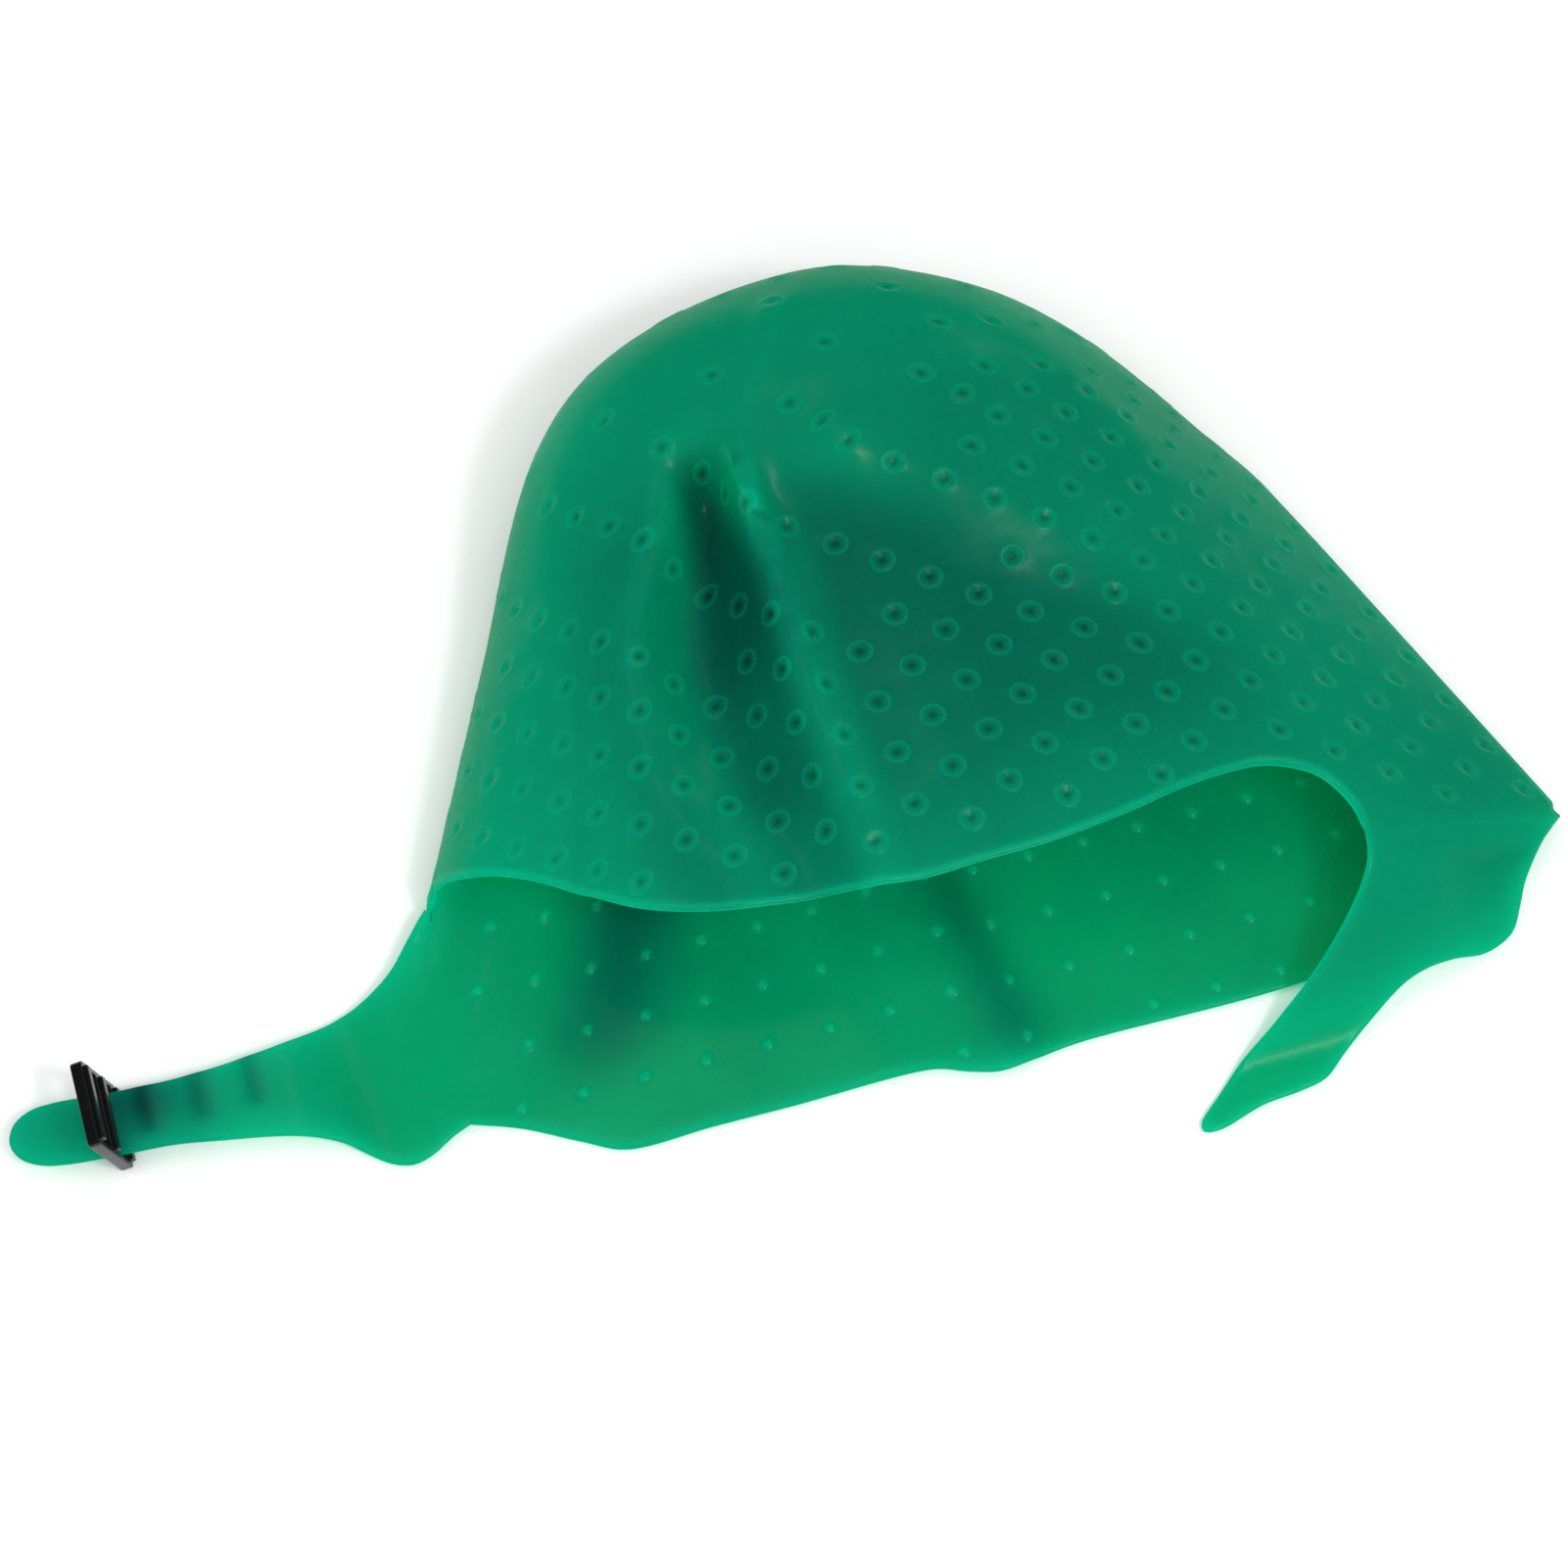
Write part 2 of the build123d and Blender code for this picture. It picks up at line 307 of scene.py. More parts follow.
# ---- outlines -------------------------------------------------------------------------------
def curve(points, pitch):
    """A smooth curve through the points (centripetal Catmull-Rom), sampled at the pitch."""
    p = np.array(points, float)
    p = np.vstack([2 * p[0] - p[1], p, 2 * p[-1] - p[-2]])
    out = []
    for i in range(1, len(p) - 2):
        k = [0.0]
        for j in range(3):
            k.append(k[-1] + max(np.linalg.norm(p[i + j] - p[i + j - 1]), 1e-6) ** 0.5)
        n = max(2, int(round(np.linalg.norm(p[i + 1] - p[i]) / pitch)))
        for t in np.linspace(k[1], k[2], n, endpoint=False):
            a = [(k[j + 1] - t) / (k[j + 1] - k[j]) * p[i - 1 + j]
                 + (t - k[j]) / (k[j + 1] - k[j]) * p[i + j] for j in range(3)]
            b = [(k[j + 2] - t) / (k[j + 2] - k[j]) * a[j]
                 + (t - k[j]) / (k[j + 2] - k[j]) * a[j + 1] for j in range(2)]
            out.append((k[2] - t) / (k[2] - k[1]) * b[0] + (t - k[1]) / (k[2] - k[1]) * b[1])
    out.append(p[-2])
    return np.array(out)


EDGE_PITCH = 1.3
FOREHEAD = ((-104.4, -9.0), (-102.3, -7.8), (-99.5, -8.7), (-97, -10), (-91, -13), (-84, -17.5),
            (-74, -25), (-65, -31.5), (-56, -35), (-47, -37.3), (-37.5, -38.2), (-28, -39),
            (-20.5, -40.5), (-9, -41.4), (1, -41), (16, -40.5), (31.5, -38.4), (46.5, -35.3),
            (61.5, -33.8), (68.5, -35.2), (73.2, -37.6), (77.4, -43.8), (78.5, TAIL_Y))
NAPE = ((-106.4, -54.0), (-97, -57.4), (-86, -63.3), (-78, -67.2), (-60, -67.2), (-45, -67.3),
        (-15, -67.6), (-8, -70.2), (-2, -71.8), (5, -71), (14, -69.8), (63, -69.4), (95, -63.8),
        (112, -57.5), (122.8, TAIL_Y))
forehead = curve(FOREHEAD, EDGE_PITCH)
nape = curve(NAPE, EDGE_PITCH)


def seam_points(a, b, pitch):
    """Points along the straight line on which a strap meets the dome."""
    n = int(round(np.linalg.norm(np.subtract(b, a)) / pitch))
    return np.linspace(a, b, n + 1)


strap_seam = seam_points(FOREHEAD[0], NAPE[0], 1.1)
tail_seam = seam_points(FOREHEAD[-1], NAPE[-1], 1.1)


def alpha_near(p):
    """Angle on the near wall of points given by x and y."""
    return np.arccos(np.clip(p[:, 0] / half_width(p[:, 1], p[:, 0] < 0), -1, 1))


def alpha_far(p):
    """Angle on the far wall of points given by x and y."""
    return 2 * np.pi - alpha_near(p)


# ---- dimples --------------------------------------------------------------------------------
NEAR_COLUMNS, FAR_COLUMNS = 26, 20    # columns of dimples, running from the rim to the crown
NEAR_PITCH, FAR_PITCH = 11.2, 12.4    # along a column
DIMPLE_R = 2.9
NO_DIMPLE = 99.0                      # stands for the radius of a point on no dimple
# Radius, rise of the outside, rise of the inside: a thin raised ring round a shallow pit on the
# outside, and a low bump inside.
DIMPLE = ((0.0, -0.30, 0.46), (0.5, -0.27, 0.41), (0.95, -0.16, 0.24), (1.3, -0.04, 0.06),
          (1.8, 0.02, 0.0), (2.08, 0.15, 0.0), (2.34, 0.16, 0.0), (2.6, 0.04, 0.0), (2.9, 0.0, 0.0))
RING_SEGMENTS = (10, 12, 12, 12, 16, 16, 16, 14)
# Painted shade in each dimple's pit, painted light on its ring outside and on its bump inside, by
# radius.
PAINTED_LIGHT_R = (0.0, 0.5, 0.95, 1.3, 1.8, 2.08, 2.34, 2.6)
PAINTED_LIGHT_OUT = (-0.55, -0.48, -0.16, 0.0, 0.0, 0.50, 0.50, 0.0)
PAINTED_LIGHT_IN = (1.0, 0.95, 0.6, 0.1, 0.0, 0.0, 0.0, 0.0)


def dimple_sites():
    """Angle and distance from the crown, in the flattened map, of each dimple."""
    sites = []
    for side, columns, pitch in ((0, NEAR_COLUMNS, NEAR_PITCH), (1, FAR_COLUMNS, FAR_PITCH)):
        for k in range(side, columns - side):
            t = (k + 0.5) / columns
            odd = k % 2
            for j in range(-1, 16):
                y = -66 + pitch * (j + (0.5 * odd if side == 0 else 0.0))
                if y > CROWN_Y - 4:
                    continue
                sparse = side == 1 or t > 0.40
                if sparse and y > (14 if t < 0.8 else 30) and (j + (k // 2)) % 2:
                    continue
                if y > 52 and odd:
                    continue
                if y > 72 and k % 4:
                    continue
                sites.append((np.pi * (side + t), float(s_of(np.array(y)))))
    return np.array(sites)


# ---- building a skinned sheet ------------------------------------------------------------------
def hex_points(lo, hi, pitch):
    """A hexagonal net over a rectangle."""
    rows = np.arange(lo[1], hi[1], pitch * math.sqrt(3) / 2)
    out = [np.stack([np.arange(lo[0], hi[0], pitch) + (pitch / 2 if i % 2 else 0),
                     np.full(np.arange(lo[0], hi[0], pitch).size, y)], -1)
           for i, y in enumerate(rows)]
    return np.vstack(out)


def inside(points, loop):
    """Which points lie inside a closed loop."""
    x, y = points[:, 0][:, None], points[:, 1][:, None]
    x0, y0 = loop[:, 0][None], loop[:, 1][None]
    x1, y1 = np.roll(loop[:, 0], -1)[None], np.roll(loop[:, 1], -1)[None]
    hit = np.zeros(len(points), int)
    for a in range(0, len(points), 4000):
        b = slice(a, a + 4000)
        cond = (y0 > y[b]) != (y1 > y[b])
        with np.errstate(divide="ignore", invalid="ignore"):
            cross = x[b] < (x1 - x0) * (y[b] - y0) / (y1 - y0) + x0
        hit[b] = (cond & cross).sum(axis=1)
    return hit % 2 == 1


def inward_of(loop):
    """Unit steps into a closed loop from each of its points."""
    after = np.roll(loop, -1, axis=0)
    along = after - np.roll(loop, 1, axis=0)
    along /= np.linalg.norm(along, axis=1)[:, None]
    turn = np.sign((loop[:, 0] * after[:, 1] - after[:, 0] * loop[:, 1]).sum())
    return np.stack([-along[:, 1], along[:, 0]], -1) * turn


def lay_flat(p):
    """Points of a plan as points in space."""
    return np.column_stack([p, np.zeros(len(p))])


def nearest(points, others):
    """Distance from each point to the nearest of the others, and which."""
    best = np.empty(len(points))
    which = np.empty(len(points), int)
    for a in range(0, len(points), 1500):
        d = np.linalg.norm(points[a:a + 1500, None] - others[None], axis=2)
        which[a:a + 1500] = d.argmin(axis=1)
        best[a:a + 1500] = d.min(axis=1)
    return best, which


def line_distance(points, lines):
    """Distance from each point to the nearest of some polylines."""
    a = np.vstack([p[:-1] for p in lines])
    b = np.vstack([p[1:] for p in lines])
    ab = b - a
    len2 = np.maximum((ab * ab).sum(axis=1), 1e-12)
    best = np.empty(len(points))
    for i in range(0, len(points), 1000):
        ap = points[i:i + 1000, None] - a[None]
        t = np.clip((ap * ab[None]).sum(axis=2) / len2, 0, 1)
        best[i:i + 1000] = np.linalg.norm(ap - t[..., None] * ab[None], axis=2).min(axis=1)
    return best


def triangulate(points, loop_size):
    """Triangles over the points, whose first loop_size are the closed boundary in order.
    Also gives each vertex's place in the list of points."""
    edges = [(i, (i + 1) % loop_size) for i in range(loop_size)]
    coords = [Vector((float(x), float(y))) for x, y in points]
    _, _, faces, origin, _, _ = delaunay_2d_cdt(coords, edges, [], 1, 1e-7)
    index = np.array([o[0] if o else -1 for o in origin])
    tris = [f for f in faces if len(f) == 3]
    return index, np.array(tris)


HALF_BEAD = 0.85          # half the rim bead's thickness
BEAD_REACH = 2.0          # the bead has run out into the wall this far from the edge
BEAD_ROWS = (0.08, 0.3, 0.65, 1.1, 1.7, 2.5)    # rows of points beside an edge
# painted light on the rim bead
BEAD_PAINTED_LIGHT = 0.42         # how much lighter the bead looks than the wall


def bead_amount(place):
    """The rim is beaded over the forehead; the nape's edge and the straps' are nearly plain."""
    return 0.25 + 0.75 * smooth((place[:, 1] + 52) / 8) * smooth((place[:, 0] + 110) / 8)


def half_thickness(d, amount):
    """Half the wall's thickness at a distance d from a free edge: a round bead, then the wall."""
    full = THICK / 2 + (HALF_BEAD - THICK / 2) * amount
    edge = np.sqrt(np.clip(full ** 2 - (full - np.minimum(d, full)) ** 2, 0, None))
    tail = THICK / 2 + (full - THICK / 2) * (1 - smooth((d - full) / (BEAD_REACH - full)))
    return np.where(d < full, edge, tail)


def vertex_normals(co, tris):
    """Normals of a mesh's vertices, as long as the area round them."""
    n = np.zeros_like(co)
    fn = np.cross(co[tris[:, 1]] - co[tris[:, 0]], co[tris[:, 2]] - co[tris[:, 0]])
    for k in range(3):
        np.add.at(n, tris[:, k], fn)
    return n


def skin(mid, normal, tris, free, rise_out, rise_in, half):
    """Outer and inner skin over the middle surface, sharing the vertices on a free edge."""
    count = len(mid)
    outer = mid + normal * (half + rise_out)[:, None]
    inner = mid - normal * (half + rise_in)[:, None]
    twin = np.arange(count) + count
    twin[free] = np.flatnonzero(free)
    keep = np.concatenate([np.ones(count, bool), ~free])
    new = np.cumsum(keep) - 1
    co = np.vstack([outer, inner])[keep]
    faces = np.vstack([tris, twin[tris][:, ::-1]])
    return co, new[faces], new[np.arange(count)], new[twin]


def silicone_object(name, co, faces, painted_light, normals):
    """A smooth mesh in metres in the shared frame, with its painted light and shade and its own
    normals.
    """
    mesh = bpy.data.meshes.new(name)
    mesh.from_pydata(((co + MID) / 1000).tolist(), [], faces.tolist())
    mesh.update()
    mesh.polygons.foreach_set("use_smooth", [True] * len(mesh.polygons))
    layer = mesh.attributes.new("painted_light", "FLOAT", "POINT")
    layer.data.foreach_set("value", painted_light.astype(np.float32))
    length = np.maximum(np.linalg.norm(normals, axis=1), 1e-9)
    mesh.normals_split_custom_set_from_vertices((normals / length[:, None]).tolist())
    ob = bpy.data.objects.new(name, mesh)
    bpy.context.scene.collection.objects.link(ob)
    return ob


# ---- the straps' outlines and heights ---------------------------------------------------------
STRAP_MID_Y = -34.2       # line down the middle of the buckle strap
STRAP_LIFT = 3.6          # the strap rides this high over the buckle's bottom bar
RIB_X, RIB_PITCH, RIB_COUNT, RIB_RISE = -145.9, 10.8, 3, 0.25
STRAP_EDGE = ((-106.4, -54.0), (-110, -55.4), (-115.4, -58.3), (-119.3, -59.1), (-123.3, -57.8),
              (-127.5, -54.8), (-131.6, -51.6), (-140.5, -48.1), (-155, -45.1), (-163.5, -43.6),
              (-173.4, -42.9), (-185.0, -41.9), (-190.0, -40.7), (-193.6, -38.3), (-195.0, -34.9),
              (-193.5, -31.2), (-189.8, -29.1), (-185.0, -28.7), (-174, -29.6), (-160, -30.2),
              (-148.4, -29.7), (-136, -28.2), (-127.7, -26.2), (-120.5, -23.5), (-114.2, -19.4),
              (-109.5, -14.4), (-106.3, -10.9), (-104.4, -9.0))
TAIL_EDGE = ((78.5, -50.0), (77.6, -55), (75.2, -59.5), (70.3, -65.1), (62.7, -71.5), (52.8, -77.9),
             (44.4, -82.8), (38, -88), (33.2, -92.4), (33.2, -94.2), (36.3, -94.7), (46.4, -92),
             (54.5, -91.2), (60, -90.0), (65.2, -86), (71.2, -82), (81.3, -76.4), (91.5, -74.4),
             (99, -74.0), (105.6, -71.0), (108.7, -66.3), (111.2, -61.8), (116.5, -55.6),
             (122.8, -50.0))
strap_edge = curve(STRAP_EDGE, EDGE_PITCH)
tail_edge = curve(TAIL_EDGE, EDGE_PITCH)
STRAP_PITCH, TAIL_PITCH = 1.2, 2.0     # between points on a strap's plan


def strap_z(x, y):
    """Height of the buckle strap's underside, the far wall's outside carried on."""
    away = smooth((HINGE_X - x) / 26)
    lift = STRAP_LIFT * smooth((-122 - x) / 18)
    return LIFT_OFF + (far_z(x, y) - LIFT_OFF) * (1 - away) + lift


def tail_z(x, y):
    """Height of the tail strap's top, the near wall's outside carried on down to the table."""
    past = TAIL_Y - y
    down = smooth(past / 36 + 0.36 * smooth((x - 84) / 30) * smooth(past / 9))
    return near_z(x, y) * (1 - down) + (LIFT_OFF + THICK) * down


def plan_place(height, p):
    """Points of a strap's plan at their height."""
    return np.stack([p[:, 0], p[:, 1], height(p[:, 0], p[:, 1])], -1)


def plan_normal(height, p):
    """Upward normals of a strap over the points of its plan."""
    h = 0.05
    x, y = p[:, 0], p[:, 1]
    n = np.stack([-(height(x + h, y) - height(x - h, y)) / (2 * h),
                  -(height(x, y + h) - height(x, y - h)) / (2 * h), np.ones(len(p))], -1)
    return n / np.linalg.norm(n, axis=1)[:, None]


# ---- the dome's mesh ---------------------------------------------------------------------------
loop_parts = [("free", np.stack([alpha_near(forehead), forehead[:, 1]], -1)),
              ("tail", np.stack([alpha_near(tail_seam), tail_seam[:, 1]], -1)),
              ("free", np.stack([alpha_far(nape), nape[:, 1]], -1)[::-1]),
              ("strap", np.stack([alpha_far(strap_seam), strap_seam[:, 1]], -1)[::-1])]
loop_uv, loop_kind = [], []
for kind, uv in loop_parts:
    loop_uv.append(uv[:-1])
    loop_kind += [kind] * (len(uv) - 1)
loop_uv = np.vstack(loop_uv)
loop_kind = np.array(loop_kind)
loop_map = to_map(loop_uv[:, 0], loop_uv[:, 1])
loop_3d = wall(loop_uv[:, 0], loop_uv[:, 1])


def kind_lines(kind):
    """The stretches of one kind of the dome's edge, in space."""
    out = []
    for k, uv in loop_parts:
        if k == kind:
            out.append(wall(uv[:, 0], uv[:, 1]))
    return out


free_lines = kind_lines("free") + [plan_place(strap_z, strap_edge), plan_place(tail_z, tail_edge)]

sites = dimple_sites()
site_map = polar(np.interp(sites[:, 1], s_rows, map_r), sites[:, 0])
KNOB = np.array([[-7.0, 82.0]])          # one dimple stands alone under the crown
site_map = np.vstack([to_map(alpha_near(KNOB), KNOB[:, 1]), site_map])
site_map = site_map[inside(site_map, loop_map)]
site_3d = on_wall(site_map)
clear = line_distance(site_3d, [loop_3d]) > DIMPLE_R + 0.8
site_map, site_3d = site_map[clear], site_3d[clear]
keep = []
for i in range(len(site_3d)):
    if all(np.linalg.norm(site_3d[i] - site_3d[j]) > 2 * DIMPLE_R + 0.4 for j in keep):
        keep.append(i)
site_map, site_3d = site_map[keep], site_3d[keep]
site_scale = map_scale(site_map)

dimple_points, dimple_r = [site_map], [np.zeros(len(site_map))]
dimple_site = [np.arange(len(site_map))]
for i, segments in enumerate(RING_SEGMENTS):
    r = DIMPLE[i + 1][0]
    a = (np.arange(segments) + 0.5 * (i % 2)) * 2 * np.pi / segments
    circle = polar(1.0, a) * r
    pts = site_map[:, None] + circle[None] * site_scale[:, None, None]
    dimple_points.append(pts.reshape(-1, 2))
    dimple_r.append(np.full(pts.shape[0] * segments, r))
    dimple_site.append(np.repeat(np.arange(len(site_map)), segments))
dimple_points = np.vstack(dimple_points)
dimple_r = np.concatenate(dimple_r)
dimple_site = np.concatenate(dimple_site)

# rows beside the free edges, for the bead's round
inward = inward_of(loop_map)
loop_scale = map_scale(loop_map)
bead_rows = np.vstack([loop_map + inward * (d * loop_scale)[:, None] for d in BEAD_ROWS])
bead_rows = bead_rows[inside(bead_rows, loop_map)]

# base points: rings in the map, their pitch following the map's scale
BASE_PITCH = 3.2
base = []
ring_r = 1.2
while ring_r < map_r[-1]:
    ring_r += BASE_PITCH * 0.9 * map_scale(np.array([[ring_r, 0.01]]))[0]
    count = max(8, int(2 * np.pi * ring_r / (BASE_PITCH * map_scale(
        np.array([[0.0, ring_r], [0.0, -ring_r]])).mean())))
    a = (np.arange(count) + 0.5 * (len(base) % 2)) * 2 * np.pi / count
    base.append(polar(1.0, a) * ring_r)
base = np.vstack(base)
base = base[inside(base, loop_map)]
base_3d = on_wall(base)
closed_3d = np.vstack([loop_3d, loop_3d[:1]])
gap_dimple, _ = nearest(base_3d, site_3d)
base = base[(gap_dimple > DIMPLE_R + 1.0) & (line_distance(base_3d, [closed_3d]) > 3.2)]
# the two side folds turn sharply, so rows of closer points run along them
FOLD_STEP = 1.15
fold_s = s_of(np.arange(-74.0, 74.0, 1.7))
fold_rows = []
for fold_phi in (0.0, np.pi):
    for k in range(-5, 6):
        phi = fold_phi + 2 * np.pi * k * FOLD_STEP / np.interp(fold_s, s_rows, around)
        fold_rows.append(polar(np.interp(fold_s, s_rows, map_r), phi))
fold_rows = np.vstack(fold_rows)
fold_rows = fold_rows[inside(fold_rows, loop_map)]
fold_3d = on_wall(fold_rows)
gap_dimple, _ = nearest(fold_3d, site_3d)
clear = (gap_dimple > DIMPLE_R + 0.5) & (line_distance(fold_3d, [closed_3d]) > 3.0)
fold_rows, fold_3d = fold_rows[clear], fold_3d[clear]
gap_fold, _ = nearest(on_wall(base), fold_3d)
base = np.vstack([base[gap_fold > 1.3], fold_rows])
bead_3d = on_wall(bead_rows)
gap_dimple, _ = nearest(bead_3d, site_3d)
bead_rows = bead_rows[gap_dimple > DIMPLE_R + 0.35]

points = np.vstack([loop_map, bead_rows, dimple_points, base])
before = len(loop_map) + len(bead_rows)
radius = np.concatenate([np.full(before, NO_DIMPLE), dimple_r, np.full(len(base), NO_DIMPLE)])
site_of = np.concatenate([np.full(before, -1), dimple_site, np.full(len(base), -1)])
index, tris = triangulate(points, len(loop_map))
tris = tris[:, ::-1]                      # the map is seen from inside the dome
alpha, y = from_map(points)
alpha[:len(loop_map)], y[:len(loop_map)] = loop_uv[:, 0], loop_uv[:, 1]


def wall_normal(alpha, y):
    """Outward normals of the dome."""
    h = 1e-3
    da = wall(alpha + h, y) - wall(alpha - h, y)
    dy = wall(alpha, y + 0.05) - wall(alpha, y - 0.05)
    n = np.cross(dy, da)
    return n / np.maximum(np.linalg.norm(n, axis=1), 1e-9)[:, None]


place = wall(alpha, y)
normal = wall_normal(alpha, y)


def profile(column, r):
    """Rise of a dimple at a radius: column 1 outside, column 2 inside."""
    return np.interp(r, [row[0] for row in DIMPLE], [row[column] for row in DIMPLE])


def finish_skin(place, normal, tris, free, rise_out, rise_in):
    """Skins for one piece; its thickness thins to nothing on free edges."""
    half = half_thickness(np.where(free, 0.0, line_distance(place, free_lines)), bead_amount(place))
    mid = place - normal * (THICK / 2)
    return skin(mid, normal, tris, free, rise_out, rise_in, half) + (half,)


place, normal, radius = place[index], normal[index], radius[index]
kinds = np.concatenate([loop_kind, np.full(len(points) - len(loop_kind), "inner")])[index]
free = kinds == "free"
pitted = radius < NO_DIMPLE
rise_out = np.where(pitted, profile(1, radius), 0.0)
rise_out *= ramp(0.5, 1.0, np.abs(np.sin(alpha[index])) / 0.4)     # stretched flat over the folds
rise_in = np.where(pitted, profile(2, radius), 0.0)
# Painted light and shade on the silicone: painted shade in the pits and over the wall's hollows,
# painted light on the rings, the inner bumps and the rim bead.
wall_painted_light = shade(place[:, 0], place[:, 1], np.sin(alpha[index]) > 0)
painted_light_out = wall_painted_light + np.where(pitted, np.interp(radius, PAINTED_LIGHT_R, PAINTED_LIGHT_OUT), 0.0)
painted_light_in = wall_painted_light + np.where(pitted, np.interp(radius, PAINTED_LIGHT_R, PAINTED_LIGHT_IN), 0.0)
dome_co, dome_faces, dome_out, dome_in, dome_half = finish_skin(
    place, normal, tris, free, rise_out, rise_in)


def bead_painted_light(place, half, free):
    """Painted light: the bead is painted lighter than the wall beside it."""
    beaded = smooth((half - THICK / 2) / (HALF_BEAD - THICK / 2))
    return BEAD_PAINTED_LIGHT * np.where(free, bead_amount(place), beaded)


def both_skins(count, out_index, in_index, out_value, in_value):
    """One value for each vertex of a mesh from values on its outer and its inner skin."""
    painted_light = np.zeros(count)
    painted_light[in_index] = in_value
    painted_light[out_index] = out_value
    return painted_light


def plan_mesh(seam, edge, height, up, pitch, rise_in=None, shade_of=None):
    """A strap: a sheet over its plan outline, from the seam on the dome round its free edge.
    up is 1 where the outside faces up and -1 where it faces down."""
    loop = np.vstack([seam[:-1], edge[:-1]])
    kind = np.array(["seam"] * (len(seam) - 1) + ["free"] * (len(edge) - 1))
    kind[0] = "free"
    into = inward_of(loop)
    rows = np.vstack([loop + into * d for d in BEAD_ROWS])
    closed = lay_flat(np.vstack([loop, loop[:1]]))
    rows = rows[inside(rows, loop)]
    rows = rows[line_distance(lay_flat(rows), [closed]) > 0.05]
    net = hex_points(loop.min(axis=0), loop.max(axis=0), pitch)
    net = net[inside(net, loop)]
    net = net[line_distance(lay_flat(net), [closed]) > 3.1]
    pts = np.vstack([loop, rows, net])
    index, tris = triangulate(pts, len(loop))
    pts = pts[index]
    kind = np.concatenate([kind, np.full(len(rows) + len(net), "inner")])[index]
    place = plan_place(height, pts)
    normal = plan_normal(height, pts) * up
    if up < 0:
        tris = tris[:, ::-1]
    inner = np.zeros(len(pts)) if rise_in is None else rise_in(pts)
    free = kind == "free"
    co, faces, outer, twin, half = finish_skin(place, normal, tris, free, np.zeros(len(pts)), inner)
    painted_bead_light = bead_painted_light(place, half, free)
    # Painted shade over the ribs, plus the piece's own painted shade and light.
    painted_shade_and_light = -0.42 * inner / max(RIB_RISE, inner.max())
    if shade_of is not None:
        painted_shade_and_light = painted_shade_and_light + shade_of(pts)
    weight = smooth((line_distance(place, free_lines) - 2.4) / 0.6) * (inner < 0.01)
    painted_light = both_skins(len(co), outer, twin, painted_bead_light + painted_shade_and_light, painted_bead_light + painted_shade_and_light)
    return co, faces, painted_light, (normal, outer, twin, weight)


def rib_rise(p):
    """Rise of the low cross ribs that hold the buckle."""
    across = 1 - smooth((np.abs(p[:, 1] - STRAP_MID_Y - 0.3) - 4.6) / 2.6)
    total = np.zeros(len(p))
    for k in range(RIB_COUNT):
        total += RIB_RISE * bell((p[:, 0] - RIB_X + RIB_PITCH * k) / 2.1)
    return total * across


def strap_shade(p):
    """Painted shade on the strap: darker where it stands off the table, most of all beside the
    buckle.
    """
    x, y = p[:, 0], p[:, 1]
    return (-0.22 * smooth((-148 - x) / 12)
            - 0.46 * bell((x + 168.5) / 7.5) * smooth((y - STRAP_MID_Y + 7) / 8))


strap_co, strap_faces, strap_painted_light, strap_own = plan_mesh(
    strap_seam, strap_edge, strap_z, -1, STRAP_PITCH, rib_rise, strap_shade)


def tail_shade(p):
    """Carries the near wall's painted shade on from the seam, then painted lighter down to the table.
    """
    past = smooth((TAIL_Y - p[:, 1]) / 14)
    return shade(p[:, 0], np.full(len(p), TAIL_Y), True) * (1 - past) + 0.20 * past


tail_co, tail_faces, tail_painted_light, tail_own = plan_mesh(
    tail_seam[::-1], tail_edge, tail_z, 1, TAIL_PITCH, shade_of=tail_shade)


def join_normals(co_a, n_a, co_b, n_b):
    """Adds the normals of vertices that meet across a seam, so that it doesn't show."""
    lo, hi = co_b.min(axis=0) - 0.1, co_b.max(axis=0) + 0.1
    near = np.flatnonzero(((co_a > lo) & (co_a < hi)).all(axis=1))
    d, which = nearest(co_b, co_a[near])
    hit = d < 0.02
    a = near[which[hit]]
    both = n_a[a] + n_b[hit]
    n_b[hit] = both
    n_a[a] = both


def unit(v):
    """Vectors made one long."""
    return v / np.maximum(np.linalg.norm(v, axis=1), 1e-9)[:, None]


def smooth_normals(from_mesh, n_out, n_in, out_index, in_index, weight):
    """The wall's own normals, so that highlights run smooth; the mesh's at a bead or a rib."""
    n = unit(from_mesh)
    w = weight[:, None]
    n[in_index] = unit(w * n_in + (1 - w) * n[in_index])
    n[out_index] = unit(w * n_out + (1 - w) * n[out_index])
    return n


dome_n = unit(vertex_normals(dome_co, dome_faces))
strap_n = unit(vertex_normals(strap_co, strap_faces))
tail_n = unit(vertex_normals(tail_co, tail_faces))
join_normals(dome_co, dome_n, strap_co, strap_n)
join_normals(dome_co, dome_n, tail_co, tail_n)

site_of = site_of[index]
radial = np.zeros_like(place)
on_dimple = site_of >= 0
radial[on_dimple] = place[on_dimple] - site_3d[site_of[on_dimple]]
radial -= normal * (radial * normal).sum(axis=1)[:, None]
radial = unit(radial) * (radius > 0.01)[:, None]
STEP = 0.12


def slope(column):
    """How steeply one of a dimple's profiles rises outwards."""
    r = np.clip(radius, STEP, NO_DIMPLE)
    rise = (profile(column, r + STEP) - profile(column, r - STEP)) / (2 * STEP)
    return np.where(on_dimple, rise, 0.0)[:, None]


